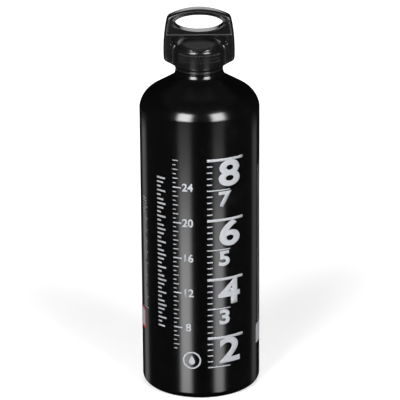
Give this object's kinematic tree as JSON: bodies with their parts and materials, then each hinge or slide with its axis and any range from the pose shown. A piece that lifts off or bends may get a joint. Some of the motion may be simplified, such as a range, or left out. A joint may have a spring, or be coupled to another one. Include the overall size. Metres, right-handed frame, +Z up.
{
  "type": "camping fuel bottle",
  "caption": "Slim black aluminium flask with a sloped shoulder and a narrow threaded neck, closed by a press-and-turn plug cap with a finger loop.",
  "frame": {"origin": "centre of the foot ring, on the surface that the bottle stands on", "axes": "+Z up along the bottle's axis, -Y towards the broad face of the cap's loop that the picture shows, +X across the loop"},
  "size_m": [0.08, 0.08, 0.2625],
  "materials": {
    "bottle_coat": "satin black powder coat",
    "seal_rubber": "smooth",
    "plug_plastic": "fine moulded",
    "spring_steel": "rolled strip",
    "cap_plastic": "fine moulded grain"
  },
  "bodies": {
    "bottle": {"bottle_shell": "bottle_coat"},
    "seal": {"seal_ring": "seal_rubber"},
    "closure": {"plug": "plug_plastic"},
    "spring": {"wave_spring": "spring_steel"},
    "cap": {"cap_shell": "cap_plastic"}
  },
  "joints": [
    {"name": "cap_rise", "type": "slide", "parent": "bottle", "child": "seal", "axis": [0, 0, 1], "range_m": [0, 0.0165]},
    {"name": "cap_turn", "type": "hinge", "parent": "seal", "child": "closure", "pos_m": [0, 0, 0.22], "axis": [0, 0, 1], "range_deg": [0, 1440]},
    {"name": "cap_press", "type": "slide", "parent": "closure", "child": "spring", "axis": [0, 0, -1], "range_m": [0, 0.001], "stiffness_N_per_m": 4000, "springref_m": -0.001, "deforming": ["wave_spring"]},
    {"name": "cap_spin", "type": "hinge", "parent": "spring", "child": "cap", "pos_m": [0, 0, 0.23], "axis": [0, 0, 1], "continuous": true}
  ],
  "couplings": [
    {"joint": "cap_rise", "follows": "cap_turn", "m_per_rad": 0.00063662}
  ]
}
